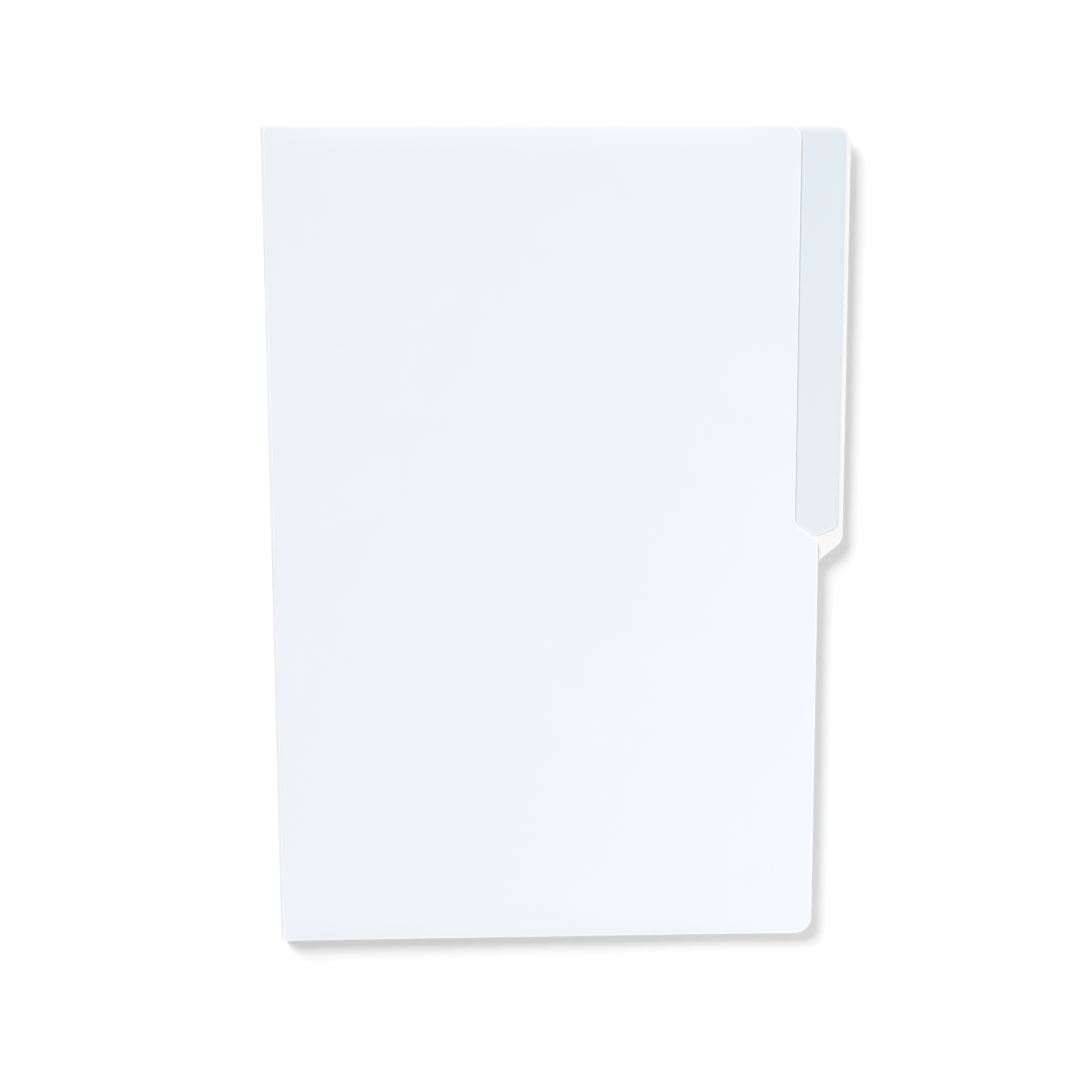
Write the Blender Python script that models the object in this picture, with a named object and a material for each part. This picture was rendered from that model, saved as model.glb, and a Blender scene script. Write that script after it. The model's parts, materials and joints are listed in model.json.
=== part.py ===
"""Closed plastic file folder with a half-cut tab, modelled as a creased blank that is folded shut.

The folder lies on its back cover. +X runs from the spine to the tab, +Y to the top edge, +Z up.
Every panel is drawn as it lies in the flat blank, outer face down, and is then turned about its crease.
"""
import math

import bmesh
import bpy
from mathutils import Vector

# Sheet
SHEET_THICKNESS = 0.0004
COVER_HEIGHT = 0.356
COVER_WIDTH = 0.2364

# Spine: room for paper between the closed covers, and the panels that the spine's score lines part
PAPER_GAP = 0.0052
CREASE_GAP = 0.0003
SPINE_STRIPS = ("rear_spine_strip", "middle_spine_strip", "front_spine_strip")

# Filing tab on the back cover
TAB_REACH = 0.0107
TAB_LENGTH = 0.1821
TAB_SLOPE_RISE = 0.0086
TAB_CORNER_RADIUS = 0.0065
TAB_HEEL_RADIUS = 0.0075
TAB_FOOT_RADIUS = 0.0045

# Edge of the front cover that is cut back beside the tab
CUTBACK_DEPTH = 0.0104
CUTBACK_LENGTH = 0.1737
CUTBACK_SLOPE_RISE = 0.0078
CUTBACK_CORNER_RADIUS = 0.0055
CUTBACK_FOOT_RADIUS = 0.0055
CUTBACK_HEEL_RADIUS = 0.004

# Free corners at the lower edge of both covers
LOWER_CORNER_RADIUS = 0.0075

# Slow upward bow of the back cover, which lies level again along the tab, just under the front cover
BOW_LENGTH = 0.065
BOW_STEPS = 12
LEVEL_WIDTH = 0.026
TAB_TO_COVER_GAP = 0.0003

# Write-on strip on the tab
LABEL_THICKNESS = 0.00012
LABEL_SEAT_GAP = 0.00003
LABEL_SIDE_MARGIN = 0.0022
LABEL_TOP_MARGIN = 0.0003
LABEL_FOOT_MARGIN = 0.0113
LABEL_TUCK = 0.003
LABEL_SLOPE_RISE = 0.0035
LABEL_CORNER_RADIUS = 0.004
LABEL_TOP_RADIUS = 0.0052
LABEL_TUCKED_RADIUS = 0.0015

# Segments in a quarter turn of a rounded corner
CORNER_SEGMENTS = 12

# Colours and roughness
COVER_COLOUR = (0.86, 0.91, 0.97, 1.0)
SPINE_COLOUR = (0.85, 0.90, 0.95, 1.0)
LABEL_COLOUR = (0.78, 0.84, 0.90, 1.0)
SHEET_ROUGHNESS = 0.42
LABEL_ROUGHNESS = 0.75

# Worked out from the sizes above
CLOSED_HEIGHT = PAPER_GAP + 2 * SHEET_THICKNESS
CREASE_FOLD = math.pi / (len(SPINE_STRIPS) + 1)
STRIP_TILTS = [CREASE_FOLD * (index + 1) for index in range(len(SPINE_STRIPS))]
STRIP_WIDTH = CLOSED_HEIGHT / sum(math.sin(tilt) for tilt in STRIP_TILTS)
SPINE_REACH = STRIP_WIDTH * sum(max(0, math.cos(tilt)) for tilt in STRIP_TILTS)
TAB_EDGE = COVER_WIDTH + TAB_REACH
CUTBACK_EDGE = COVER_WIDTH - CUTBACK_DEPTH
HALF_HEIGHT = COVER_HEIGHT / 2
SPINE_X = -(TAB_EDGE - SPINE_REACH) / 2
BOW_START = TAB_EDGE - LEVEL_WIDTH - BOW_LENGTH
BOW_LIFT = PAPER_GAP - TAB_TO_COVER_GAP


def clear_scene():
    for old in list(bpy.data.objects):
        bpy.data.objects.remove(old, do_unlink=True)


def make_material(name, colour, roughness):
    material = bpy.data.materials.new(name)
    material.use_nodes = True
    shader = material.node_tree.nodes["Principled BSDF"]
    shader.inputs["Base Color"].default_value = colour
    shader.inputs["Roughness"].default_value = roughness
    shader.inputs["Metallic"].default_value = 0.0
    return material


def rounded_corner(before, corner, after, radius):
    """Points of the arc that rounds a corner of an outline, in order."""
    if radius <= 0:
        return [corner]
    towards_before = (before - corner).normalized()
    towards_after = (after - corner).normalized()
    opening = towards_before.angle(towards_after)
    setback = radius / math.tan(opening / 2)
    middle = (towards_before + towards_after).normalized()
    centre = corner + middle * (radius / math.sin(opening / 2))
    first = corner + towards_before * setback - centre
    last = corner + towards_after * setback - centre
    sweep = math.pi - opening
    segments = max(2, round(CORNER_SEGMENTS * sweep / (math.pi / 2)))
    points = []
    for step in range(segments + 1):
        share = step / segments
        first_part = math.sin((1 - share) * sweep) / math.sin(sweep)
        last_part = math.sin(share * sweep) / math.sin(sweep)
        points.append(centre + first * first_part + last * last_part)
    return points


def rounded_outline(corners):
    """Outline with each (x, y, radius) corner rounded."""
    places = [Vector((x, y)) for x, y, _ in corners]
    outline = []
    for index, (_, _, radius) in enumerate(corners):
        before = places[index - 1]
        after = places[(index + 1) % len(places)]
        outline.extend(rounded_corner(before, places[index], after, radius))
    return outline


def extruded_sheet(outline, base, thickness):
    """Closed sheet of an outline, from height base up by thickness."""
    sheet = bmesh.new()
    vertices = [sheet.verts.new((point.x, point.y, base)) for point in outline]
    face = sheet.faces.new(vertices)
    grown = bmesh.ops.extrude_face_region(sheet, geom=[face])
    upper = [item for item in grown["geom"] if isinstance(item, bmesh.types.BMVert)]
    bmesh.ops.translate(sheet, verts=upper, vec=(0, 0, thickness))
    bmesh.ops.recalc_face_normals(sheet, faces=sheet.faces)
    return sheet


def mitre(sheet, edge_x, inward):
    """Slope the end face at a crease so that two panels clear each other when the crease is folded."""
    setback = SHEET_THICKNESS * math.tan(CREASE_FOLD / 2)
    for vertex in sheet.verts:
        at_crease = math.isclose(vertex.co.x, edge_x, abs_tol=CREASE_GAP / 10)
        if at_crease and vertex.co.z > SHEET_THICKNESS / 2:
            vertex.co.x += inward * setback


def bow_places():
    return [BOW_START + BOW_LENGTH * step / BOW_STEPS for step in range(BOW_STEPS + 1)]


def eased_share(step):
    """Share of the bow's lift that is reached at a cut line, flat at both ends of the bow."""
    share = step / BOW_STEPS
    return share * share * (3 - 2 * share)


def bow_height(x):
    """Height of the bowed sheet at x, straight between the bow's cut lines."""
    steps = (x - BOW_START) / BOW_LENGTH * BOW_STEPS
    steps = min(max(steps, 0), BOW_STEPS)
    below = min(math.floor(steps), BOW_STEPS - 1)
    low = eased_share(below)
    high = eased_share(below + 1)
    return BOW_LIFT * (low + (high - low) * (steps - below))


def bow(sheet):
    """Cut a sheet into bands across the bow and lift each point by the bow's height."""
    for place in bow_places():
        everything = list(sheet.verts) + list(sheet.edges) + list(sheet.faces)
        bmesh.ops.bisect_plane(sheet, geom=everything, dist=1e-7, plane_co=(place, 0, 0), plane_no=(1, 0, 0))
    for vertex in sheet.verts:
        vertex.co.z += bow_height(vertex.co.x)


def add_piece(name, sheet, colour, roughness, parent, location, fold):
    """Object of a finished sheet, with its origin on the crease it turns about."""
    mesh = bpy.data.meshes.new(name)
    sheet.to_mesh(mesh)
    sheet.free()
    mesh.materials.append(make_material(name + "_material", colour, roughness))
    piece = bpy.data.objects.new(name, mesh)
    bpy.context.scene.collection.objects.link(piece)
    piece.parent = parent
    piece.location = location
    piece.rotation_euler = (0, fold, 0)
    return piece


def back_cover_sheet():
    crease_edge = CREASE_GAP / 2
    foot_y = HALF_HEIGHT - TAB_LENGTH - TAB_SLOPE_RISE / 2
    heel_y = foot_y + TAB_SLOPE_RISE
    corners = [
        (crease_edge, -HALF_HEIGHT, 0),
        (COVER_WIDTH, -HALF_HEIGHT, LOWER_CORNER_RADIUS),
        (COVER_WIDTH, foot_y, TAB_FOOT_RADIUS),
        (TAB_EDGE, heel_y, TAB_HEEL_RADIUS),
        (TAB_EDGE, HALF_HEIGHT, TAB_CORNER_RADIUS),
        (crease_edge, HALF_HEIGHT, 0),
    ]
    sheet = extruded_sheet(rounded_outline(corners), 0, SHEET_THICKNESS)
    mitre(sheet, crease_edge, 1)
    bow(sheet)
    return sheet


def spine_strip_sheet():
    """Narrow panel from its own crease at x = 0 to the next crease at x = -STRIP_WIDTH."""
    first_edge = -CREASE_GAP / 2
    second_edge = CREASE_GAP / 2 - STRIP_WIDTH
    corners = [
        (second_edge, -HALF_HEIGHT, 0),
        (first_edge, -HALF_HEIGHT, 0),
        (first_edge, HALF_HEIGHT, 0),
        (second_edge, HALF_HEIGHT, 0),
    ]
    sheet = extruded_sheet(rounded_outline(corners), 0, SHEET_THICKNESS)
    mitre(sheet, first_edge, -1)
    mitre(sheet, second_edge, 1)
    return sheet


def front_cover_sheet():
    """Front panel in the flat blank, running from its crease at x = 0 towards -X."""
    crease_edge = -CREASE_GAP / 2
    heel_y = HALF_HEIGHT - CUTBACK_LENGTH - CUTBACK_SLOPE_RISE / 2
    foot_y = heel_y + CUTBACK_SLOPE_RISE
    corners = [
        (crease_edge, -HALF_HEIGHT, 0),
        (crease_edge, HALF_HEIGHT, 0),
        (-CUTBACK_EDGE, HALF_HEIGHT, CUTBACK_CORNER_RADIUS),
        (-CUTBACK_EDGE, foot_y, CUTBACK_FOOT_RADIUS),
        (-COVER_WIDTH, heel_y, CUTBACK_HEEL_RADIUS),
        (-COVER_WIDTH, -HALF_HEIGHT, LOWER_CORNER_RADIUS),
    ]
    sheet = extruded_sheet(rounded_outline(corners), 0, SHEET_THICKNESS)
    mitre(sheet, crease_edge, -1)
    return sheet


def tab_label_sheet():
    """Strip that fills the tab's face and tucks a little way under the front cover."""
    inner_x = CUTBACK_EDGE - LABEL_TUCK
    outer_x = TAB_EDGE - LABEL_SIDE_MARGIN
    top_y = HALF_HEIGHT - LABEL_TOP_MARGIN
    foot_y = HALF_HEIGHT - TAB_LENGTH - TAB_SLOPE_RISE / 2 + LABEL_FOOT_MARGIN
    corners = [
        (inner_x, foot_y, LABEL_TUCKED_RADIUS),
        (COVER_WIDTH, foot_y, 0),
        (outer_x, foot_y + LABEL_SLOPE_RISE, LABEL_CORNER_RADIUS),
        (outer_x, top_y, LABEL_TOP_RADIUS),
        (inner_x, top_y, LABEL_TUCKED_RADIUS),
    ]
    sheet = extruded_sheet(rounded_outline(corners), SHEET_THICKNESS + LABEL_SEAT_GAP, LABEL_THICKNESS)
    bow(sheet)
    return sheet


def main():
    clear_scene()
    here = (0, 0, 0)
    next_crease = (-STRIP_WIDTH, 0, 0)
    back_cover = add_piece("back_cover", back_cover_sheet(), COVER_COLOUR, SHEET_ROUGHNESS,
                           None, (SPINE_X, 0, 0), 0)
    add_piece("tab_label", tab_label_sheet(), LABEL_COLOUR, LABEL_ROUGHNESS, back_cover, here, 0)
    panel = back_cover
    crease = here
    for name in SPINE_STRIPS:
        panel = add_piece(name, spine_strip_sheet(), SPINE_COLOUR, SHEET_ROUGHNESS, panel, crease, CREASE_FOLD)
        crease = next_crease
    add_piece("front_cover", front_cover_sheet(), COVER_COLOUR, SHEET_ROUGHNESS, panel, crease, CREASE_FOLD)


main()
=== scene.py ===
"""Closed plastic file folder: one creased polypropylene sheet with a half-cut tab and a write-on strip."""
import json
import math

import bmesh
import bpy
from bpy.props import FloatProperty, FloatVectorProperty, IntProperty, PointerProperty
from mathutils import Matrix, Vector

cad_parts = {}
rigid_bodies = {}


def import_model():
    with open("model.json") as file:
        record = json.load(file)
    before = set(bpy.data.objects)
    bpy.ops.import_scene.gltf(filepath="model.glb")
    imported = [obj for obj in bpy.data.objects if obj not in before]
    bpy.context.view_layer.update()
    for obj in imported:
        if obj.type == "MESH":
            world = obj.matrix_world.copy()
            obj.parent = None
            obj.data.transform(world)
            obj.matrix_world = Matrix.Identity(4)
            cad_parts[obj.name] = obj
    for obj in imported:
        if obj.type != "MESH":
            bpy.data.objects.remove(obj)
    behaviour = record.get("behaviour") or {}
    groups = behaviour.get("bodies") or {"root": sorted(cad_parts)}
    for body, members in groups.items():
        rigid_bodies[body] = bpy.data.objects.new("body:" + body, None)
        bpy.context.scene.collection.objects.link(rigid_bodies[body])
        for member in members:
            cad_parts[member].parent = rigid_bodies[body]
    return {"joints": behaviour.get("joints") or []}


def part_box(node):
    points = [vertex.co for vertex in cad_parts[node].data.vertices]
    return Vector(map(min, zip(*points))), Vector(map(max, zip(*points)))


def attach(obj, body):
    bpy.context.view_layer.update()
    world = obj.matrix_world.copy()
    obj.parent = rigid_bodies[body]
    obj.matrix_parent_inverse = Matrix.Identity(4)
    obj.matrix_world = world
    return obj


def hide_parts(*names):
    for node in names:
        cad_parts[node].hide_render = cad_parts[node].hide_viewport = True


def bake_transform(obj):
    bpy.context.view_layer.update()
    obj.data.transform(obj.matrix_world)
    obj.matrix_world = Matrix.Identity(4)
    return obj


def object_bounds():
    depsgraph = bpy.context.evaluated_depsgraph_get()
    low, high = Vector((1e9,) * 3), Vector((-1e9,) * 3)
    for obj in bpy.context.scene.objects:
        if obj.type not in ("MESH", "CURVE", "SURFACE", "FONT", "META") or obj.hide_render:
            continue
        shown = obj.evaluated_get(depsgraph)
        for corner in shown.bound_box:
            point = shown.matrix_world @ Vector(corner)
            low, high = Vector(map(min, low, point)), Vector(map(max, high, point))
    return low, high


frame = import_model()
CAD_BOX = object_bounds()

bl_info = {
    "name": "Plastic file folder",
    "version": (1, 0, 0),
    "blender": (4, 5, 0),
    "location": "View3D > Sidebar > Folder",
    "description": "Builds a creased plastic file folder with a half-cut tab on its packed frame",
    "category": "Object",
}

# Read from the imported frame: the creases, and the bodies of the panels between them in the order in
# which the blank runs
CREASES = [Vector(joint["pos_m"]) for joint in frame["joints"]]
PANEL_BODIES = [frame["joints"][0]["parent"]] + [joint["child"] for joint in frame["joints"]]
_, BACK_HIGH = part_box("back_cover")
FRONT_LOW, FRONT_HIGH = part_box("front_cover")
LABEL_LOW, LABEL_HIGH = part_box("tab_label")
HALF_HEIGHT = BACK_HIGH.y
SHEET_THICKNESS = FRONT_HIGH.z - FRONT_LOW.z
COVER_WIDTH = FRONT_HIGH.x - CREASES[-1].x
TAB_EDGE = BACK_HIGH.x - CREASES[0].x
BOW_LIFT = BACK_HIGH.z - SHEET_THICKNESS

SPINE_STRIPS = ("rear_spine_strip", "middle_spine_strip", "front_spine_strip")
CREASE_WEBS = ("rear_crease_web", "lower_spine_crease_web", "upper_spine_crease_web", "front_crease_web")

# Distances from the cut edge at which a sheet gets a ring of points
COVER_RINGS = (0, 0.00002, 0.00005, 0.00009, 0.00014, 0.00024, 0.0008, 0.0018)
STRIP_RINGS = COVER_RINGS[:6]
LABEL_RINGS = (0, 0.00001, 0.000025, 0.00005, 0.00012, 0.0008)
# Shares of the droop's width at which the front cover gets closer cut lines
CURL_CUTS = (0.3, 0.45, 0.6, 0.8, 1.0)
WEB_COLUMNS = 10
LEAST_ARC_SEGMENTS = 4
WELD_DISTANCE = 1e-6
BACK_WAVE_SEED = 3.0
FRONT_WAVE_SEED = 11.0

# Noise levels between which a tone sets in
NOISE_MEAN = 0.5
CLOUD_RANGE = (0.42, 0.68)
MIST_RANGE = (0.46, 0.74)
FLECK_RANGE = (0.50, 0.80)
LABEL_FLECK_RANGE = (0.40, 0.75)
LABEL_CLOUD_RANGE = (0.35, 0.75)
# Shares by which the clouding is weaker on the inner face and on the spine, and the painted edge highlight
# on the spine
INNER_CALM = 0.7
SPINE_CALM = 0.8
SPINE_EDGE_CALM = 0.9
# Share of the sheet's painted edge highlight band that is brightest, and the width and strength of the
# strip's own painted edge highlight
EDGE_HIGHLIGHT_CORE = 0.25
LABEL_HIGHLIGHT_BAND = 0.0003
LABEL_HIGHLIGHT_SHARE = 0.80
# How far the roughness varies, and how much smoother a die-cut edge is
SHEET_SPREAD = 0.10
LABEL_SPREAD = 0.16
EDGE_POLISH = 0.06
# Relief of grain and draw lines in the sheet, and of the tooth of the strip
LINE_WIDTH = 0.0014
LINE_LENGTH = 0.09
GRAIN_PART, LINE_PART = 0.7, 0.3
RELIEF_DEPTH = 0.00003
GRAIN_STRENGTH = 0.10
TOOTH_STRENGTH = 0.18
# What makes the strip's tone paler
LABEL_FLECK_PART, LABEL_CLOUD_PART, LABEL_FOOT_PART = 0.30, 0.30, 0.40
PLASTIC_IOR = 1.49
WHITE = (1, 1, 1, 1)


class FolderSizes(bpy.types.PropertyGroup):
    """Sizes of the folder's sheet, outlines and strip."""

    sheet_thickness: FloatProperty(
        name="Sheet thickness", description="Thickness of the polypropylene sheet",
        default=SHEET_THICKNESS, unit="LENGTH")
    edge_rounding: FloatProperty(
        name="Edge rounding", description="Width over which a die-cut edge is rounded",
        default=0.00014, unit="LENGTH")
    crease_radius: FloatProperty(
        name="Crease radius", description="Outer radius of the sheet where it bends at a crease",
        default=0.0014, unit="LENGTH")
    crease_overlap: FloatProperty(
        name="Crease overlap", description="How far a bent web runs on over the flat panels beside it",
        default=0.0003, unit="LENGTH")
    crease_skin: FloatProperty(
        name="Crease skin", description="How far a bent web stands proud of the panels beside it",
        default=0.000006, unit="LENGTH")
    tab_length: FloatProperty(
        name="Tab length", description="Top edge to the middle of the slope at the tab's foot",
        default=0.1821, unit="LENGTH")
    tab_slope_rise: FloatProperty(
        name="Tab slope rise", description="Height of the slope at the tab's foot",
        default=0.0086, unit="LENGTH")
    tab_corner_radius: FloatProperty(
        name="Tab corner radius", description="Upper outer corner of the tab",
        default=0.0065, unit="LENGTH")
    tab_heel_radius: FloatProperty(
        name="Tab heel radius", description="Lower outer corner of the tab",
        default=0.0075, unit="LENGTH")
    tab_foot_radius: FloatProperty(
        name="Tab foot radius", description="Hollow where the tab meets the cover's edge",
        default=0.0045, unit="LENGTH")
    cutback_depth: FloatProperty(
        name="Cut-back depth", description="How far the front cover is cut back beside the tab",
        default=0.0104, unit="LENGTH")
    cutback_length: FloatProperty(
        name="Cut-back length", description="Top edge to the middle of the slope that ends the cut-back",
        default=0.1737, unit="LENGTH")
    cutback_slope_rise: FloatProperty(
        name="Cut-back slope rise", description="Height of the slope that ends the cut-back",
        default=0.0078, unit="LENGTH")
    cutback_corner_radius: FloatProperty(
        name="Cut-back corner radius", description="Upper corner of the front cover beside the tab",
        default=0.0055, unit="LENGTH")
    cutback_foot_radius: FloatProperty(
        name="Cut-back foot radius", description="Hollow at the upper end of the slope",
        default=0.0055, unit="LENGTH")
    cutback_heel_radius: FloatProperty(
        name="Cut-back heel radius", description="Corner at the lower end of the slope",
        default=0.004, unit="LENGTH")
    lower_corner_radius: FloatProperty(
        name="Lower corner radius", description="Free lower corners of both covers",
        default=0.0075, unit="LENGTH")
    bow_length: FloatProperty(
        name="Bow length", description="Width over which the back cover rises towards the tab",
        default=0.065, unit="LENGTH")
    level_width: FloatProperty(
        name="Level width", description="Width along the tab where the back cover lies level again",
        default=0.026, unit="LENGTH")
    bow_lift: FloatProperty(
        name="Bow lift", description="Height by which the tab lies above the rest of the back cover",
        default=BOW_LIFT, unit="LENGTH")
    wave_height: FloatProperty(
        name="Wave height", description="Height of the slow waves in a cover",
        default=0.00030, unit="LENGTH")
    wave_spacing: FloatProperty(
        name="Wave spacing", description="Distance over which the slow waves rise and fall",
        default=0.070, unit="LENGTH")
    wave_free_width: FloatProperty(
        name="Flat width", description="Distance from a crease over which the waves set in",
        default=0.040, unit="LENGTH")
    top_droop: FloatProperty(
        name="Top droop", description="How far the front cover's top edge curls down",
        default=0.00042, unit="LENGTH")
    foot_droop: FloatProperty(
        name="Foot droop", description="How far the front cover's bottom edge curls down",
        default=0.00020, unit="LENGTH")
    droop_width: FloatProperty(
        name="End droop width", description="Width over which those edges curl down",
        default=0.009, unit="LENGTH")
    settle: FloatProperty(
        name="Settle", description="How far the front cover's free edge settles towards the tab",
        default=0.00012, unit="LENGTH")
    grid_pitch: FloatProperty(
        name="Grid pitch", description="Spacing of the cut lines in a cover's mesh",
        default=0.006, unit="LENGTH")
    label_thickness: FloatProperty(
        name="Strip thickness", description="Thickness of the write-on strip",
        default=0.00012, unit="LENGTH")
    label_seat: FloatProperty(
        name="Strip seat", description="Thickness of the adhesive under the write-on strip",
        default=0.00003, unit="LENGTH")
    label_slope_rise: FloatProperty(
        name="Strip slope rise", description="Height of the slope at the strip's foot",
        default=0.0035, unit="LENGTH")
    label_corner_radius: FloatProperty(
        name="Strip corner radius", description="Lower outer corner of the strip",
        default=0.004, unit="LENGTH")
    label_top_radius: FloatProperty(
        name="Strip top radius", description="Upper outer corner of the strip",
        default=0.0052, unit="LENGTH")
    label_tucked_radius: FloatProperty(
        name="Strip tucked radius", description="Corners of the strip under the front cover",
        default=0.0015, unit="LENGTH")
    label_edge_rounding: FloatProperty(
        name="Strip edge rounding", description="Width over which the strip's edge is rounded",
        default=0.00012, unit="LENGTH")
    corner_segments: IntProperty(
        name="Corner segments", description="Segments in a quarter turn of a rounded corner",
        default=20, min=LEAST_ARC_SEGMENTS)


class FolderLooks(bpy.types.PropertyGroup):
    """Colours and finish of the folder's sheet and strip."""

    outer_white: FloatVectorProperty(
        name="Outer face", description="Cool white of the sheet's outer face",
        default=(0.880, 0.919, 0.972, 1.0), size=4, subtype="COLOR", min=0, max=1)
    inner_white: FloatVectorProperty(
        name="Inner face", description="Warmer white of the sheet's inner face",
        default=(0.929, 0.921, 0.899, 1.0), size=4, subtype="COLOR", min=0, max=1)
    cloud_white: FloatVectorProperty(
        name="Warm clouding", description="Faintly violet tone that clouds the sheet softly",
        default=(0.902, 0.910, 0.974, 1.0), size=4, subtype="COLOR", min=0, max=1)
    mist_white: FloatVectorProperty(
        name="Cool clouding", description="Faintly green tone that clouds the sheet softly",
        default=(0.855, 0.925, 0.965, 1.0), size=4, subtype="COLOR", min=0, max=1)
    edge_highlight_white: FloatVectorProperty(
        name="Edge highlight", description="Painted highlight along a die-cut edge",
        default=(0.970, 0.975, 0.980, 1.0), size=4, subtype="COLOR", min=0, max=1)
    spine_white: FloatVectorProperty(
        name="Spine", description="Painted shade on the spine and its creases",
        default=(0.722, 0.752, 0.768, 1.0), size=4, subtype="COLOR", min=0, max=1)
    label_grey: FloatVectorProperty(
        name="Write-on strip", description="Bluish grey of the matt strip",
        default=(0.775, 0.848, 0.908, 1.0), size=4, subtype="COLOR", min=0, max=1)
    label_pale: FloatVectorProperty(
        name="Strip mottling", description="Paler flecks of the matt strip, which crowd towards its foot",
        default=(0.815, 0.850, 0.880, 1.0), size=4, subtype="COLOR", min=0, max=1)
    sheet_roughness: FloatProperty(
        name="Sheet roughness", description="Roughness of the finely grained sheet",
        default=0.75, min=0, max=1, subtype="FACTOR")
    label_roughness: FloatProperty(
        name="Strip roughness", description="Roughness of the matt strip",
        default=0.85, min=0, max=1, subtype="FACTOR")
    sheen: FloatProperty(
        name="Sheen", description="Strength of the plastic's reflection",
        default=0.3, min=0, max=1, subtype="FACTOR")
    cloud_size: FloatProperty(
        name="Warm cloud size", description="Size of the faintly violet clouds",
        default=0.090, unit="LENGTH")
    cloud_share: FloatProperty(
        name="Warm cloud share", description="Strength of the faintly violet clouds",
        default=0.75, min=0, max=1, subtype="FACTOR")
    mist_size: FloatProperty(
        name="Cool cloud size", description="Size of the faintly green clouds",
        default=0.060, unit="LENGTH")
    mist_share: FloatProperty(
        name="Cool cloud share", description="Strength of the faintly green clouds",
        default=0.60, min=0, max=1, subtype="FACTOR")
    fleck_size: FloatProperty(
        name="Fleck size", description="Size of the small flecks among the green clouds",
        default=0.007, unit="LENGTH")
    fleck_share: FloatProperty(
        name="Fleck share", description="Strength of the small flecks among the green clouds",
        default=0.15, min=0, max=1, subtype="FACTOR")
    grain_size: FloatProperty(
        name="Grain size", description="Size of the fine grain pressed into the sheet",
        default=0.0006, unit="LENGTH")
    tooth_size: FloatProperty(
        name="Tooth size", description="Size of the strip's fine tooth",
        default=0.0003, unit="LENGTH")
    label_fleck_size: FloatProperty(
        name="Strip fleck size", description="Size of the strip's paler flecks",
        default=0.004, unit="LENGTH")
    label_cloud_size: FloatProperty(
        name="Strip cloud size", description="Size of the strip's paler clouds",
        default=0.040, unit="LENGTH")
    paler_top_width: FloatProperty(
        name="Worn width", description="Width at the strip's upper end that is paler",
        default=0.0036, unit="LENGTH")
    paler_top_share: FloatProperty(
        name="Worn share", description="How far the strip's upper end is paler",
        default=0.60, min=0, max=1, subtype="FACTOR")
    foot_fade: FloatProperty(
        name="Foot fade", description="Width at the strip's foot over which it pales into the sheet",
        default=0.0028, unit="LENGTH")
    foot_share: FloatProperty(
        name="Foot share", description="How far the strip pales into the sheet at its foot",
        default=0.5, min=0, max=1, subtype="FACTOR")
    edge_highlight_share: FloatProperty(
        name="Edge share", description="Strength of the paler band along a die-cut edge",
        default=0.85, min=0, max=1, subtype="FACTOR")
    edge_highlight_band: FloatProperty(
        name="Edge band", description="Width of the paler band along a die-cut edge",
        default=0.0011, unit="LENGTH")


class FolderStage(bpy.types.PropertyGroup):
    """Camera, light and floor."""

    camera_place: FloatVectorProperty(
        name="Camera place", description="Where the camera stands",
        default=(-0.032961, 0.116880, 0.778171), size=3, subtype="TRANSLATION", unit="LENGTH")
    camera_turn: FloatVectorProperty(
        name="Camera turn", description="Turn of the camera from looking straight down",
        default=(math.radians(-8.4401), math.radians(-1.8936), math.radians(-0.2136)),
        size=3, subtype="EULER")
    focal_length: FloatProperty(
        name="Focal length", description="Focal length of the lens in millimetres",
        default=60.0)
    key_from: FloatVectorProperty(
        name="Key direction", description="Direction from the folder to the key light",
        default=(-1.02, 1.36, 0.95), size=3, subtype="DIRECTION")
    key_strength: FloatProperty(
        name="Key strength", description="Strength of the key light",
        default=2.75)
    key_softness: FloatProperty(
        name="Key softness", description="Angle that the key light spans",
        default=math.radians(28), subtype="ANGLE")
    top_strength: FloatProperty(
        name="Top strength", description="Strength of the light from straight above",
        default=0.60)
    top_softness: FloatProperty(
        name="Top softness", description="Angle that the light from straight above spans",
        default=math.radians(15), subtype="ANGLE")
    fill_place: FloatVectorProperty(
        name="Fill place", description="Where the fill light hangs",
        default=(0.50, -0.30, 0.70), size=3, subtype="TRANSLATION", unit="LENGTH")
    fill_power: FloatProperty(
        name="Fill power", description="Power of the fill light",
        default=1.32, unit="POWER")
    fill_size: FloatProperty(
        name="Fill size", description="Side of the fill light",
        default=0.5, unit="LENGTH")
    room_level: FloatProperty(
        name="Room level", description="Light that the room gives from all round",
        default=0.256)
    floor_size: FloatProperty(
        name="Floor size", description="Side of the floor",
        default=6.0, unit="LENGTH")
    floor_drop: FloatProperty(
        name="Floor drop", description="Gap between the folder and the floor",
        default=0.0001, unit="LENGTH")
    floor_white: FloatVectorProperty(
        name="Floor", description="Colour of the floor",
        default=(0.97, 0.97, 0.97, 1.0), size=4, subtype="COLOR", min=0, max=1)
    floor_lift: FloatProperty(
        name="Floor lift", description="Brightening of the floor beside the folder, as the camera sees it",
        default=0.083)
    outer_lift: FloatProperty(
        name="Outer lift", description="Brightening of the floor farther off, as the camera sees it",
        default=0.16)
    floor_near: FloatProperty(
        name="Near floor", description="Distance from the folder up to which the floor is seen as white",
        default=0.40, unit="LENGTH")
    floor_fade: FloatProperty(
        name="Floor fade", description="Distance at which the floor has faded to the backdrop",
        default=0.90, unit="LENGTH")
    backdrop_level: FloatProperty(
        name="Backdrop level", description="Brightness of the backdrop, where 1 is white",
        default=0.76)


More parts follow.
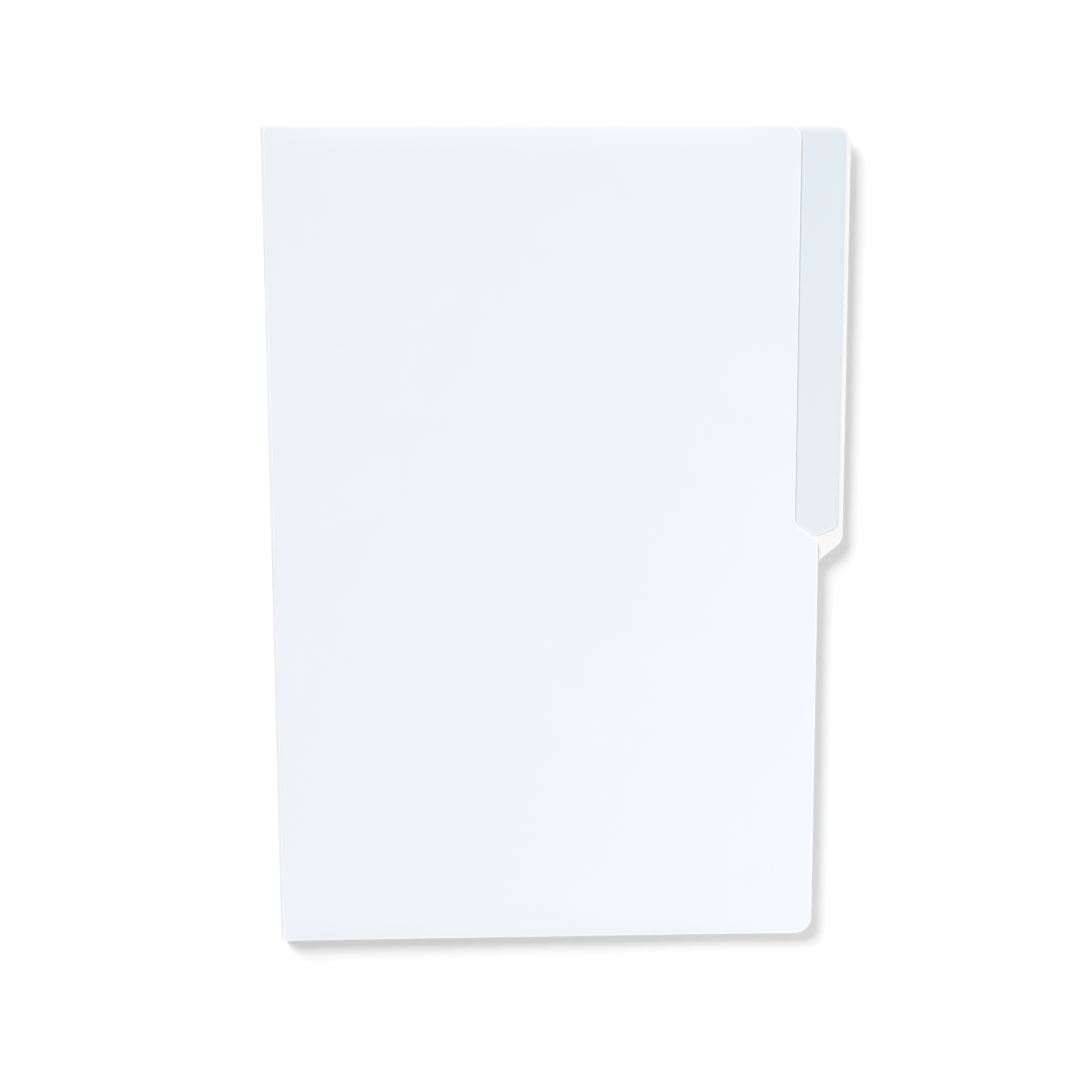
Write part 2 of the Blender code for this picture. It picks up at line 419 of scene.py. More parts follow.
class Wire:
    """One socket of a node tree; arithmetic on it adds Math nodes."""

    def __init__(self, nodes, socket):
        self.nodes = nodes
        self.socket = socket

    def output(self, name):
        """Another output of the same node."""
        return Wire(self.nodes, self.socket.node.outputs[name])

    def __add__(self, other):
        return self.nodes.maths("ADD", self, other)

    def __radd__(self, other):
        return self.nodes.maths("ADD", other, self)

    def __sub__(self, other):
        return self.nodes.maths("SUBTRACT", self, other)

    def __rsub__(self, other):
        return self.nodes.maths("SUBTRACT", other, self)

    def __mul__(self, other):
        return self.nodes.maths("MULTIPLY", self, other)

    def __truediv__(self, other):
        return self.nodes.maths("DIVIDE", self, other)

    def __rtruediv__(self, other):
        return self.nodes.maths("DIVIDE", other, self)

    def root(self):
        return self.nodes.maths("SQRT", self, 0)

    def size(self):
        return self.nodes.maths("ABSOLUTE", self, 0)

    def at_least(self, other):
        return self.nodes.maths("MAXIMUM", self, other)

    def at_most(self, other):
        return self.nodes.maths("MINIMUM", self, other)

    def rise(self, low, high):
        """Smooth rise from 0 at low to 1 at high."""
        return self.nodes.add(
            "ShaderNodeMapRange", {"interpolation_type": "SMOOTHSTEP"},
            {"Value": self, "From Min": low, "From Max": high})


class Nodes:
    """Adds nodes to one tree and links them."""

    def __init__(self, tree):
        self.tree = tree

    def feed(self, socket, value):
        for each in value if isinstance(value, list) else [value]:
            if isinstance(each, Wire):
                self.tree.links.new(each.socket, socket)
            else:
                socket.default_value = each

    def add(self, kind, settings=None, sockets=None, out=0):
        """Any node: its type, its settings, then the values or links of its sockets."""
        node = self.tree.nodes.new(kind)
        for name, setting in (settings or {}).items():
            setattr(node, name, setting)
        for key, value in (sockets or {}).items():
            self.feed(node.inputs[key], value)
        return Wire(self, node.outputs[out]) if len(node.outputs) else node

    def maths(self, operation, first, second):
        return self.add("ShaderNodeMath", {"operation": operation}, {0: first, 1: second})

    def colours(self, share, first, second):
        """Mix of two colours."""
        return self.add("ShaderNodeMix", {"data_type": "RGBA"}, {0: share, 6: first, 7: second}, out=2)

    def noise(self, place, feature, detail=2.0, roughness=0.5):
        """Noise whose features are about so many metres across."""
        return self.add("ShaderNodeTexNoise", None, {
            "Vector": place, "Scale": 1 / feature, "Detail": detail, "Roughness": roughness})

    def attribute(self, name):
        return self.add("ShaderNodeAttribute", {"attribute_name": name}, out="Fac")


def rounded_corner(before, corner, after, radius, quarter_segments):
    """Points of the arc that rounds a corner of an outline, in order."""
    if radius <= 0:
        return [corner]
    towards_before = (before - corner).normalized()
    towards_after = (after - corner).normalized()
    opening = towards_before.angle(towards_after)
    setback = radius / math.tan(opening / 2)
    middle = (towards_before + towards_after).normalized()
    centre = corner + middle * (radius / math.sin(opening / 2))
    first = corner + towards_before * setback - centre
    last = corner + towards_after * setback - centre
    sweep = math.pi - opening
    segments = max(LEAST_ARC_SEGMENTS, round(quarter_segments * sweep / (math.pi / 2)))
    points = []
    for step in range(segments + 1):
        share = step / segments
        first_part = math.sin((1 - share) * sweep) / math.sin(sweep)
        last_part = math.sin(share * sweep) / math.sin(sweep)
        points.append(centre + first * first_part + last * last_part)
    return points


def rounded_outline(corners, quarter_segments):
    """Outline with each (x, y, radius) corner rounded."""
    places = [Vector((x, y)) for x, y, _ in corners]
    outline = []
    for index, (_, _, radius) in enumerate(corners):
        after = places[(index + 1) % len(places)]
        outline.extend(rounded_corner(places[index - 1], places[index], after, radius, quarter_segments))
    return outline


def band_corners(low_x, high_x, end_y):
    """Square corners of a band that runs from end to end of the sheet."""
    return [(low_x, -end_y, 0), (high_x, -end_y, 0), (high_x, end_y, 0), (low_x, end_y, 0)]


def cut_lines(low, high, pitch):
    """Evenly spaced places between low and high, about pitch apart."""
    count = max(1, round((high - low) / pitch))
    return [low + (high - low) * step / count for step in range(1, count)]


def end_lines(sizes):
    """Closer cut lines where the front cover's top and bottom edges curl."""
    steps = [HALF_HEIGHT - sizes.droop_width * share for share in CURL_CUTS]
    return [end * step for step in steps for end in (-1, 1)]


def flat_blank(sizes, corners, rings, columns, rows, folds, fold_reach=COVER_RINGS[-1], spine_shades=(0, 0)):
    """Flat face with rounded corners, ringed along its edge and cut into a grid.

    Each point keeps its ring's distance from the edge, and its distance from the nearest die-cut edge:
    within reach of a fold, only the sheet's top and bottom ends are die-cut. The share of painted spine
    shade runs from its first value at the blank's lowest x to its second at the highest.
    """
    outline = rounded_outline(corners, sizes.corner_segments)
    blank = bmesh.new()
    ring = blank.verts.layers.float.new("ring")
    rim = blank.verts.layers.float.new("rim")
    spine_shade = blank.verts.layers.float.new("spine_shade")
    face = blank.faces.new([blank.verts.new((point.x, point.y, 0)) for point in outline])
    for nearer, distance in zip(rings, rings[1:]):
        bmesh.ops.inset_region(
            blank, faces=[face], thickness=distance - nearer, use_even_offset=True, use_boundary=True)
        for vertex in face.verts:
            vertex[ring] = distance
    for across, places in ((Vector((1, 0, 0)), columns), (Vector((0, 1, 0)), rows)):
        for place in places:
            everything = list(blank.verts) + list(blank.edges) + list(blank.faces)
            bmesh.ops.bisect_plane(
                blank, geom=everything, dist=WELD_DISTANCE, plane_co=across * place, plane_no=across)
    low_x = min(point.x for point in outline)
    high_x = max(point.x for point in outline)
    for vertex in blank.verts:
        beside_fold = any(abs(vertex.co.x - fold) <= fold_reach for fold in folds)
        from_end = HALF_HEIGHT - abs(vertex.co.y)
        vertex[rim] = min(from_end, COVER_RINGS[-1]) if beside_fold else vertex[ring]
        share = (vertex.co.x - low_x) / (high_x - low_x)
        vertex[spine_shade] = spine_shades[0] + (spine_shades[1] - spine_shades[0]) * share
    return blank


def sheet_tree():
    """Geometry Nodes that turn a flat blank into a closed sheet with rounded edges, bow and slow waves."""
    name = "Plastic sheet"
    if name in bpy.data.node_groups:
        return bpy.data.node_groups[name]
    tree = bpy.data.node_groups.new(name, "GeometryNodeTree")
    tree.interface.new_socket("Geometry", in_out="OUTPUT", socket_type="NodeSocketGeometry")
    tree.interface.new_socket("Blank", in_out="INPUT", socket_type="NodeSocketGeometry")
    for label in ("Thickness", "Edge rounding", "Base height", "Bow start", "Bow length", "Bow lift",
                  "Wave height", "Wave spacing", "Wave free width", "Wave end", "Wave seed",
                  "Top droop", "Foot droop", "Droop width", "Settle"):
        tree.interface.new_socket(label, in_out="INPUT", socket_type="NodeSocketFloat")
    tree.interface.new_socket("Material", in_out="INPUT", socket_type="NodeSocketMaterial")
    nodes = Nodes(tree)
    given = nodes.add("NodeGroupInput")
    thickness = given.output("Thickness")
    position = nodes.add("GeometryNodeInputPosition")
    x = nodes.add("ShaderNodeSeparateXYZ", None, {"Vector": position})

    # Half an ellipse round the die-cut edge: the two skins meet where the ring distance is nothing
    ring = nodes.add("GeometryNodeInputNamedAttribute", {"data_type": "FLOAT"}, {"Name": "ring"})
    short_of_flat = 1 - (ring / given.output("Edge rounding")).at_most(1)
    half = thickness / 2 * (1 - short_of_flat * short_of_flat).root()
    middle = given.output("Base height") + thickness / 2

    # One-sided waves that set in away from the crease and die out before the free edge, on top of the bow
    wave = nodes.add("ShaderNodeTexNoise", {"noise_dimensions": "4D"}, {
        "Vector": position, "W": given.output("Wave seed"), "Scale": 1 / given.output("Wave spacing"),
        "Detail": 1.0, "Roughness": 0.3})
    free_width = given.output("Wave free width")
    wave_end = given.output("Wave end")
    from_crease = x.size()
    short_of_end = 1 - from_crease.rise(wave_end - free_width, wave_end)
    wave = wave * from_crease.rise(0, free_width) * short_of_end
    bow_start = given.output("Bow start")
    bow = x.rise(bow_start, bow_start + given.output("Bow length"))

    # The top and bottom edges curl, and the free edge settles
    y = x.output("Y")
    droop_width = given.output("Droop width")
    top_curl = (1 - (HALF_HEIGHT - y) / droop_width).at_least(0)
    foot_curl = (1 - (HALF_HEIGHT + y) / droop_width).at_least(0)
    top_fall = top_curl * top_curl * given.output("Top droop")
    foot_fall = foot_curl * foot_curl * given.output("Foot droop")
    curl = (top_fall + foot_fall) * from_crease.rise(0, free_width / 2) * short_of_end
    settled = from_crease.rise(0, wave_end) * given.output("Settle")
    lift = middle + wave * given.output("Wave height") + bow * given.output("Bow lift") + curl + settled

    def skin(blank, height, inner):
        up = nodes.add("ShaderNodeCombineXYZ", None, {"Z": height})
        moved = nodes.add("GeometryNodeSetPosition", None, {"Geometry": blank, "Offset": up})
        return nodes.add("GeometryNodeStoreNamedAttribute", {"data_type": "FLOAT", "domain": "POINT"}, {
            "Geometry": moved, "Name": "inner_face", "Value": inner})

    blank = given.output("Blank")
    inner_skin = skin(blank, lift + half, 1.0)
    outer_skin = skin(nodes.add("GeometryNodeFlipFaces", None, {"Mesh": blank}), lift - half, 0.0)
    sheet = nodes.add("GeometryNodeJoinGeometry", None, {"Geometry": [inner_skin, outer_skin]})
    sheet = nodes.add("GeometryNodeMergeByDistance", None, {"Geometry": sheet, "Distance": WELD_DISTANCE})
    sheet = nodes.add("GeometryNodeSetShadeSmooth", None, {"Geometry": sheet})
    sheet = nodes.add("GeometryNodeRealizeInstances", None, {"Geometry": sheet})
    sheet = nodes.add("GeometryNodeSetMaterial", None, {
        "Geometry": sheet, "Material": given.output("Material")})
    nodes.add("NodeGroupOutput", None, {"Geometry": sheet})
    return tree


def sheet_piece(name, blank, place, **inputs):
    """Object of a flat blank that the sheet tree has given its thickness, with its place in its mesh."""
    flat = bpy.data.meshes.new(name + "_blank")
    blank.to_mesh(flat)
    blank.free()
    piece = bpy.data.objects.new(name, flat)
    bpy.context.scene.collection.objects.link(piece)
    tree = sheet_tree()
    modifier = piece.modifiers.new(tree.name, "NODES")
    modifier.node_group = tree
    for item in tree.interface.items_tree:
        key = item.name.lower().replace(" ", "_")
        if item.in_out == "INPUT" and key in inputs:
            modifier[item.identifier] = inputs[key]
    bpy.context.view_layer.update()
    depsgraph = bpy.context.evaluated_depsgraph_get()
    mesh = bpy.data.meshes.new_from_object(piece.evaluated_get(depsgraph))
    piece.modifiers.clear()
    piece.data = mesh
    bpy.data.meshes.remove(flat)
    mesh.name = name
    for vertex in mesh.vertices:
        vertex.co = place(vertex.co)
    mesh.update()
    return piece


def sheet_inputs(sizes, **changes):
    """Inputs of the sheet tree for a flat panel, with the changes that a piece asks for."""
    inputs = {
        "thickness": sizes.sheet_thickness, "edge_rounding": sizes.edge_rounding, "base_height": 0.0,
        "bow_start": 0.0, "bow_length": 1.0, "bow_lift": 0.0,
        "wave_height": 0.0, "wave_spacing": sizes.wave_spacing, "wave_free_width": sizes.wave_free_width,
        "wave_end": COVER_WIDTH - sizes.cutback_depth, "wave_seed": 0.0,
        "top_droop": 0.0, "foot_droop": 0.0, "droop_width": sizes.droop_width, "settle": 0.0,
    }
    inputs.update(changes)
    return inputs


def back_bow(sizes):
    """Inputs that the back cover shares with what lies on it, so that both take the same bow and waves."""
    return {
        "bow_start": TAB_EDGE - sizes.level_width - sizes.bow_length, "bow_length": sizes.bow_length,
        "bow_lift": sizes.bow_lift, "wave_height": sizes.wave_height, "wave_seed": BACK_WAVE_SEED,
    }


def run_along(index):
    """Direction in which the blank runs through a panel, from the back cover to the front cover."""
    if index == 0:
        return Vector((-1, 0, 0))
    if index == len(CREASES):
        return Vector((1, 0, 0))
    return (CREASES[index] - CREASES[index - 1]).normalized()


def inward(run):
    """Direction from the outer face of a panel towards the inside of the folded sheet."""
    return Vector((run.z, 0, -run.x))


def panel_place(index):
    """Move from the flat blank to a folded panel: x back towards the crease before it, z to the inside."""
    run = run_along(index)
    origin = CREASES[max(index - 1, 0)]
    turn = Matrix((-run, Vector((0, 1, 0)), inward(run))).transposed()
    return lambda point: origin + turn @ point


def crease_fold(index):
    return run_along(index).angle(run_along(index + 1))


def crease_setback(sizes, index):
    """Distance from a crease at which the sheet starts to bend."""
    return sizes.crease_radius * math.tan(crease_fold(index) / 2)


def crease_place(sizes, index):
    """Move from the flat web to its bend round a crease."""
    before = run_along(index)
    after = run_along(index + 1)
    run = (before + after).normalized()
    inside = (inward(before) + inward(after)).normalized()
    radius = sizes.crease_radius
    half_fold = crease_fold(index) / 2
    centre = CREASES[index] + inside * (radius / math.cos(half_fold))

    def place(point):
        along = -point.x
        bent = max(-half_fold, min(half_fold, along / radius))
        beyond = along - bent * radius
        heading = run * math.cos(bent) + inside * math.sin(bent)
        up = inside * math.cos(bent) - run * math.sin(bent)
        return centre - up * (radius - point.z) + heading * beyond + Vector((0, point.y, 0))

    return place


def empty_material(name):
    """Material without nodes, and what adds them."""
    material = bpy.data.materials.new(name)
    material.use_nodes = True
    material.node_tree.nodes.clear()
    return material, Nodes(material.node_tree)


def plastic_surface(nodes, looks, colour, roughness, relief, strength):
    """Ends a material in plastic with a fine relief."""
    bump = nodes.add("ShaderNodeBump", None, {
        "Strength": strength, "Distance": RELIEF_DEPTH, "Height": relief})
    shader = nodes.add("ShaderNodeBsdfPrincipled", None, {
        "Base Color": colour, "Roughness": roughness, "Normal": bump, "IOR": PLASTIC_IOR,
        "Specular IOR Level": looks.sheen})
    nodes.add("ShaderNodeOutputMaterial", None, {"Surface": shader})


def sheet_material(looks):
    """White polypropylene: soft clouding, fine pressed grain, faint draw lines, painted highlight along
    die-cut edges.
    """
    name = "White polypropylene"
    if name in bpy.data.materials:
        return bpy.data.materials[name]
    material, nodes = empty_material(name)
    place = nodes.add("ShaderNodeTexCoord", out="Object")
    cloud = nodes.noise(place, looks.cloud_size, detail=2.0)
    mist = nodes.noise(place, looks.mist_size, detail=3.0)
    fleck = nodes.noise(place, looks.fleck_size, detail=3.0, roughness=0.6)
    grain = nodes.noise(place, looks.grain_size, detail=2.0)
    drawn = nodes.add("ShaderNodeMapping", None, {
        "Vector": place, "Scale": (1 / LINE_WIDTH, 1 / LINE_LENGTH, 1 / LINE_WIDTH)})
    lines = nodes.noise(drawn, 1.0, detail=2.0)
    inside = nodes.attribute("inner_face")
    rim = nodes.attribute("rim")
    spine_shade = nodes.attribute("spine_shade")

    # Painted shade: the spine and its creases take a darker white, which evens out the extra light on their
    # tilted faces
    colour = nodes.colours(spine_shade, tuple(looks.outer_white), tuple(looks.spine_white))
    colour = nodes.colours(inside, colour, tuple(looks.inner_white))
    clouding = (1 - inside * INNER_CALM) * (1 - spine_shade * SPINE_CALM)
    clouded = cloud.rise(*CLOUD_RANGE) * looks.cloud_share
    colour = nodes.colours(clouded * clouding, colour, tuple(looks.cloud_white))
    misted = mist.rise(*MIST_RANGE) * looks.mist_share + fleck.rise(*FLECK_RANGE) * looks.fleck_share
    colour = nodes.colours(misted * clouding, colour, tuple(looks.mist_white))
    # Painted highlight: a paler white band along each die-cut edge, weaker on the spine
    edge_highlight_mask = 1 - rim.rise(looks.edge_highlight_band * EDGE_HIGHLIGHT_CORE, looks.edge_highlight_band)
    edge_highlight_mask = edge_highlight_mask * (1 - spine_shade * SPINE_EDGE_CALM)
    colour = nodes.colours(edge_highlight_mask * looks.edge_highlight_share, colour, tuple(looks.edge_highlight_white))
    uneven = (cloud - NOISE_MEAN) * SHEET_SPREAD + (lines - NOISE_MEAN) * SHEET_SPREAD
    roughness = looks.sheet_roughness + uneven - edge_highlight_mask * EDGE_POLISH
    relief = grain * GRAIN_PART + lines * LINE_PART
    plastic_surface(nodes, looks, colour, roughness, relief, GRAIN_STRENGTH)
    return material


def label_material(sizes, looks):
    """Matt write-on film with a fine tooth, which pales into the sheet along its sloping foot."""
    material, nodes = empty_material("Write-on film")
    place = nodes.add("ShaderNodeTexCoord", out="Object")
    tooth = nodes.noise(place, looks.tooth_size, detail=3.0, roughness=0.65)
    fleck = nodes.noise(place, looks.label_fleck_size, detail=3.0, roughness=0.6)
    cloud = nodes.noise(place, looks.label_cloud_size, detail=1.0)
    rim = nodes.attribute("rim")
    across = nodes.add("ShaderNodeSeparateXYZ", None, {"Vector": place})
    along = across.output("Y")

    towards_foot = 1 - along.rise(LABEL_LOW.y, LABEL_HIGH.y)
    flecked = fleck.rise(*LABEL_FLECK_RANGE) * LABEL_FLECK_PART
    clouded = cloud.rise(*LABEL_CLOUD_RANGE) * LABEL_CLOUD_PART
    pale = flecked + clouded + towards_foot * LABEL_FOOT_PART
    colour = nodes.colours(pale, tuple(looks.label_grey), tuple(looks.label_pale))
    slope_start = CREASES[0].x + COVER_WIDTH
    foot_slope = sizes.label_slope_rise / (LABEL_HIGH.x - slope_start)
    foot_line = ((across - slope_start) * foot_slope).at_least(0) + LABEL_LOW.y
    at_foot = (1 - (along - foot_line).rise(0, looks.foot_fade)) * looks.foot_share
    colour = nodes.colours(at_foot, colour, tuple(looks.inner_white))
    # Paler towards the strip's upper end, in the white of the painted edge highlight
    paler_top = along.rise(LABEL_HIGH.y - looks.paler_top_width, LABEL_HIGH.y) * looks.paler_top_share
    # Painted highlight along the strip's edge, which pales the rounded edge where it would fall into shade
    edge_highlight_mask = (1 - rim.rise(0, LABEL_HIGHLIGHT_BAND)) * LABEL_HIGHLIGHT_SHARE
    colour = nodes.colours(paler_top.at_least(edge_highlight_mask), colour, tuple(looks.edge_highlight_white))
    roughness = looks.label_roughness + (tooth - NOISE_MEAN) * LABEL_SPREAD
    plastic_surface(nodes, looks, colour, roughness, tooth, TOOTH_STRENGTH)
    return material


class FOLDER_OT_stage(bpy.types.Operator):
    """Floor, light and camera"""

    bl_idname = "folder.stage"
    bl_label = "Stage"

    def execute(self, context):
        stage = context.scene.folder_stage
        context.scene.view_settings.view_transform = "Standard"
        self.floor(context, stage)
        self.room(context, stage)
        self.lights(context, stage)
        self.camera(context, stage)
        return {"FINISHED"}

    def floor(self, context, stage):
        plane = bmesh.new()
        bmesh.ops.create_grid(plane, x_segments=1, y_segments=1, size=stage.floor_size / 2)
        bmesh.ops.translate(plane, verts=plane.verts, vec=(0, 0, CAD_BOX[0].z - stage.floor_drop))
        mesh = bpy.data.meshes.new("floor")
        plane.to_mesh(mesh)
        plane.free()
        material, nodes = empty_material("Pale floor")
        paint = nodes.add("ShaderNodeBsdfDiffuse", None, {"Color": tuple(stage.floor_white)})
        beside = nodes.add("ShaderNodeEmission", None, {"Strength": stage.floor_lift})
        away = nodes.add("ShaderNodeEmission", None, {"Strength": stage.outer_lift})
        far = nodes.add("ShaderNodeEmission", None, {"Strength": stage.backdrop_level})
        # The camera sees the floor lifted to white round the folder, and faded to the backdrop far off
        place = nodes.add("ShaderNodeTexCoord", out="Object")
        distance = nodes.add("ShaderNodeVectorMath", {"operation": "LENGTH"}, {0: place}, out="Value")
        outer = distance.rise(stage.floor_near / 2, stage.floor_near)
        faded = distance.rise(stage.floor_near, stage.floor_fade)
        lifted = nodes.add("ShaderNodeMixShader", None, {0: outer, 1: beside, 2: away})
        near = nodes.add("ShaderNodeAddShader", None, {0: paint, 1: lifted})
        seen = nodes.add("ShaderNodeMixShader", None, {0: faded, 1: near, 2: far})
        surface = nodes.add("ShaderNodeMixShader", None, {0: self.seen_directly(nodes), 1: paint, 2: seen})
        nodes.add("ShaderNodeOutputMaterial", None, {"Surface": surface})
        mesh.materials.append(material)
        floor = bpy.data.objects.new("floor", mesh)
        context.scene.collection.objects.link(floor)

    def seen_directly(self, nodes):
        """1 for what the camera, a reflection or a see-through surface shows."""
        path = nodes.add("ShaderNodeLightPath", out="Is Camera Ray")
        return path.at_least(path.output("Is Glossy Ray")).at_least(path.output("Is Transmission Ray"))

    def room(self, context, stage):
        world = bpy.data.worlds.new("Plain room")
        world.use_nodes = True
        world.node_tree.nodes.clear()
        nodes = Nodes(world.node_tree)
        light = nodes.add("ShaderNodeBackground", None, {"Color": WHITE, "Strength": stage.room_level})
        backdrop = nodes.add("ShaderNodeBackground", None, {
            "Color": WHITE, "Strength": stage.backdrop_level})
        seen = self.seen_directly(nodes)
        surface = nodes.add("ShaderNodeMixShader", None, {0: seen, 1: light, 2: backdrop})
        nodes.add("ShaderNodeOutputWorld", None, {"Surface": surface})
        context.scene.world = world

    def lights(self, context, stage):
        key = self.add_lamp(context, "key_light", "SUN", energy=stage.key_strength, angle=stage.key_softness)
        key.rotation_euler = self.facing_from(stage.key_from)
        self.add_lamp(context, "top_light", "SUN", energy=stage.top_strength, angle=stage.top_softness)
        fill = self.add_lamp(context, "fill_light", "AREA", energy=stage.fill_power, size=stage.fill_size)
        fill.location = stage.fill_place
        fill.rotation_euler = self.facing_from(stage.fill_place)

    def add_lamp(self, context, name, kind, **settings):
        """Lamp that shines straight down."""
        light = bpy.data.lights.new(name, kind)
        for setting, value in settings.items():
            setattr(light, setting, value)
        lamp = bpy.data.objects.new(name, light)
        context.scene.collection.objects.link(lamp)
        return lamp

    def facing_from(self, place):
        """Turn that points a lamp from a place towards the folder."""
        return (-Vector(place)).to_track_quat("-Z", "Y").to_euler()

    def camera(self, context, stage):
        lens = bpy.data.cameras.new("camera")
        lens.lens = stage.focal_length
        camera = bpy.data.objects.new("camera", lens)
        camera.location = stage.camera_place
        camera.rotation_euler = stage.camera_turn
        context.scene.collection.objects.link(camera)
        context.scene.camera = camera


class FOLDER_OT_back_cover(bpy.types.Operator):
    """Back cover with the half-cut tab, bowing up towards the tab"""

    bl_idname = "folder.back_cover"
    bl_label = "Back cover"

    def execute(self, context):
        sizes = context.scene.folder_sizes
        start = crease_setback(sizes, 0)
        foot_y = HALF_HEIGHT - sizes.tab_length - sizes.tab_slope_rise / 2
        heel_y = foot_y + sizes.tab_slope_rise
        corners = [
            (start, -HALF_HEIGHT, 0),
            (COVER_WIDTH, -HALF_HEIGHT, sizes.lower_corner_radius),
            (COVER_WIDTH, foot_y, sizes.tab_foot_radius),
            (TAB_EDGE, heel_y, sizes.tab_heel_radius),
            (TAB_EDGE, HALF_HEIGHT, sizes.tab_corner_radius),
            (start, HALF_HEIGHT, 0),
        ]
        blank = flat_blank(
            sizes, corners, COVER_RINGS, cut_lines(start, TAB_EDGE, sizes.grid_pitch),
            cut_lines(-HALF_HEIGHT, HALF_HEIGHT, sizes.grid_pitch), [start])
        piece = sheet_piece(
            "back_cover_sheet", blank, panel_place(0), material=sheet_material(context.scene.folder_looks),
            **sheet_inputs(sizes, **back_bow(sizes)))
        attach(piece, PANEL_BODIES[0])
        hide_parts("back_cover")
        return {"FINISHED"}


class FOLDER_OT_front_cover(bpy.types.Operator):
    """Front cover, cut back beside the tab"""

    bl_idname = "folder.front_cover"
    bl_label = "Front cover"

    def execute(self, context):
        sizes = context.scene.folder_sizes
        last = len(CREASES)
        start = crease_setback(sizes, last - 1)
        cutback_edge = COVER_WIDTH - sizes.cutback_depth
        heel_y = HALF_HEIGHT - sizes.cutback_length - sizes.cutback_slope_rise / 2
        foot_y = heel_y + sizes.cutback_slope_rise
        corners = [
            (-start, -HALF_HEIGHT, 0),
            (-start, HALF_HEIGHT, 0),
            (-cutback_edge, HALF_HEIGHT, sizes.cutback_corner_radius),
            (-cutback_edge, foot_y, sizes.cutback_foot_radius),
            (-COVER_WIDTH, heel_y, sizes.cutback_heel_radius),
            (-COVER_WIDTH, -HALF_HEIGHT, sizes.lower_corner_radius),
        ]
        blank = flat_blank(
            sizes, corners, COVER_RINGS, cut_lines(-COVER_WIDTH, -start, sizes.grid_pitch),
            end_lines(sizes) + cut_lines(-HALF_HEIGHT, HALF_HEIGHT, sizes.grid_pitch), [-start])
        piece = sheet_piece(
            "front_cover_sheet", blank, panel_place(last),
            material=sheet_material(context.scene.folder_looks),
            **sheet_inputs(
                sizes, wave_height=sizes.wave_height, wave_seed=FRONT_WAVE_SEED,
                top_droop=sizes.top_droop, foot_droop=sizes.foot_droop, settle=sizes.settle))
        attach(piece, PANEL_BODIES[last])
        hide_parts("front_cover")
        return {"FINISHED"}


class FOLDER_OT_spine_strips(bpy.types.Operator):
    """Three narrow panels of the spine"""

    bl_idname = "folder.spine_strips"
    bl_label = "Spine strips"

    def execute(self, context):
        sizes = context.scene.folder_sizes
        for index, node in enumerate(SPINE_STRIPS, start=1):
            width = (CREASES[index] - CREASES[index - 1]).length
            near = -crease_setback(sizes, index - 1)
            far = crease_setback(sizes, index) - width
            # The whole strip takes the painted spine shade
            blank = flat_blank(
                sizes, band_corners(far, near, HALF_HEIGHT), STRIP_RINGS, [],
                cut_lines(-HALF_HEIGHT, HALF_HEIGHT, sizes.grid_pitch), [near, far], width, spine_shades=(1, 1))
            piece = sheet_piece(
                node + "_panel", blank, panel_place(index),
                material=sheet_material(context.scene.folder_looks), **sheet_inputs(sizes))
            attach(piece, PANEL_BODIES[index])
            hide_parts(node)
        return {"FINISHED"}


class FOLDER_OT_crease_webs(bpy.types.Operator):
    """Thin bent webs of the four creases, which carry the sheet from one panel to the next"""

    bl_idname = "folder.crease_webs"
    bl_label = "Crease webs"

    def execute(self, context):
        sizes = context.scene.folder_sizes
        for index, name in enumerate(CREASE_WEBS):
            half_width = sizes.crease_radius * crease_fold(index) / 2 + sizes.crease_overlap
            corners = band_corners(-half_width, half_width, HALF_HEIGHT + sizes.crease_skin)
            # The painted spine shade covers the webs between strips and fades across a web that meets a
            # cover
            blank = flat_blank(
                sizes, corners, STRIP_RINGS,
                cut_lines(-half_width, half_width, 2 * half_width / WEB_COLUMNS),
                cut_lines(-HALF_HEIGHT, HALF_HEIGHT, sizes.grid_pitch), [0], half_width,
                spine_shades=(0 if index == len(CREASES) - 1 else 1, 0 if index == 0 else 1))
            piece = sheet_piece(
                name, blank, crease_place(sizes, index),
                material=sheet_material(context.scene.folder_looks),
                **sheet_inputs(
                    sizes, thickness=sizes.sheet_thickness + 2 * sizes.crease_skin,
                    base_height=-sizes.crease_skin))
            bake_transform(piece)
        return {"FINISHED"}


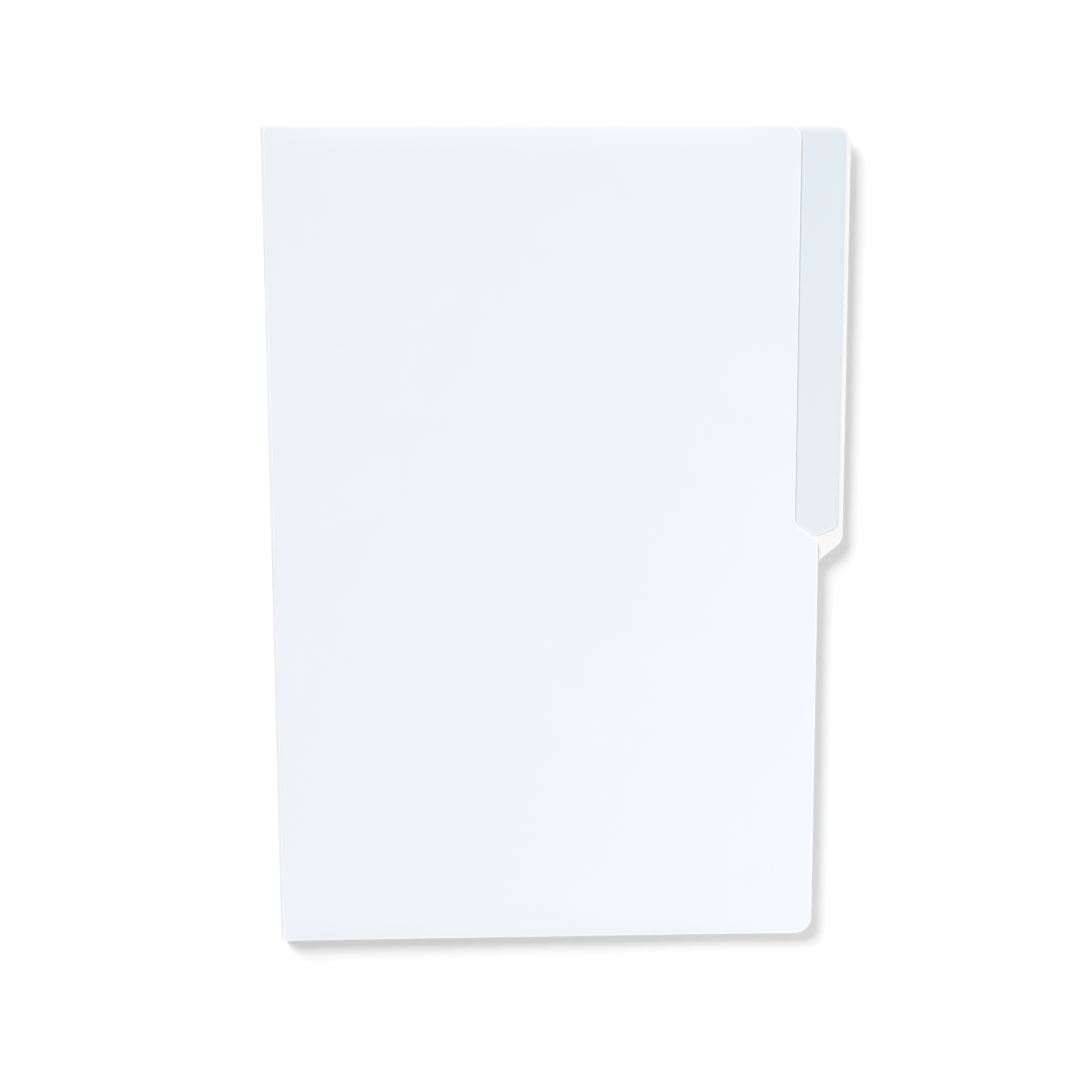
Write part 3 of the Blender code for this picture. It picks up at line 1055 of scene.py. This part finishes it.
class FOLDER_OT_tab_label(bpy.types.Operator):
    """Write-on strip on the tab"""

    bl_idname = "folder.tab_label"
    bl_label = "Write-on strip"

    def execute(self, context):
        sizes = context.scene.folder_sizes
        inner_x = LABEL_LOW.x - CREASES[0].x
        outer_x = LABEL_HIGH.x - CREASES[0].x
        foot_y = LABEL_LOW.y
        top_y = LABEL_HIGH.y
        corners = [
            (inner_x, foot_y, sizes.label_tucked_radius),
            (COVER_WIDTH, foot_y, 0),
            (outer_x, foot_y + sizes.label_slope_rise, sizes.label_corner_radius),
            (outer_x, top_y, sizes.label_top_radius),
            (inner_x, top_y, sizes.label_tucked_radius),
        ]
        blank = flat_blank(
            sizes, corners, LABEL_RINGS, cut_lines(inner_x, outer_x, sizes.grid_pitch / 2),
            cut_lines(foot_y, top_y, sizes.grid_pitch), [])
        piece = sheet_piece(
            "tab_label_film", blank, panel_place(0),
            material=label_material(sizes, context.scene.folder_looks),
            **sheet_inputs(
                sizes, **back_bow(sizes), thickness=sizes.label_thickness,
                edge_rounding=sizes.label_edge_rounding,
                base_height=sizes.sheet_thickness + sizes.label_seat))
        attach(piece, PANEL_BODIES[0])
        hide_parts("tab_label")
        return {"FINISHED"}


class FOLDER_PT_panel(bpy.types.Panel):
    """Folder"""

    bl_idname = "FOLDER_PT_panel"
    bl_label = "Plastic file folder"
    bl_space_type = "VIEW_3D"
    bl_region_type = "UI"
    bl_category = "Folder"

    def draw(self, context):
        layout = self.layout
        for operator in OPERATORS:
            layout.operator(operator.bl_idname)
        for group in (context.scene.folder_sizes, context.scene.folder_looks, context.scene.folder_stage):
            column = layout.column(align=True)
            for name in group.bl_rna.properties.keys():
                if name not in ("rna_type", "name"):
                    column.prop(group, name)


GROUPS = {"folder_sizes": FolderSizes, "folder_looks": FolderLooks, "folder_stage": FolderStage}
OPERATORS = (
    FOLDER_OT_stage,
    FOLDER_OT_back_cover,
    FOLDER_OT_tab_label,
    FOLDER_OT_spine_strips,
    FOLDER_OT_crease_webs,
    FOLDER_OT_front_cover,
)


def register():
    for cls in (*GROUPS.values(), *OPERATORS, FOLDER_PT_panel):
        bpy.utils.register_class(cls)
    for name, group in GROUPS.items():
        setattr(bpy.types.Scene, name, PointerProperty(type=group))


def unregister():
    for name in GROUPS:
        delattr(bpy.types.Scene, name)
    for cls in reversed((*GROUPS.values(), *OPERATORS, FOLDER_PT_panel)):
        bpy.utils.unregister_class(cls)


def main():
    register()
    bpy.ops.folder.stage()
    bpy.ops.folder.back_cover()
    bpy.ops.folder.tab_label()
    bpy.ops.folder.spine_strips()
    bpy.ops.folder.crease_webs()
    bpy.ops.folder.front_cover()


if __name__ == "__main__":
    main()
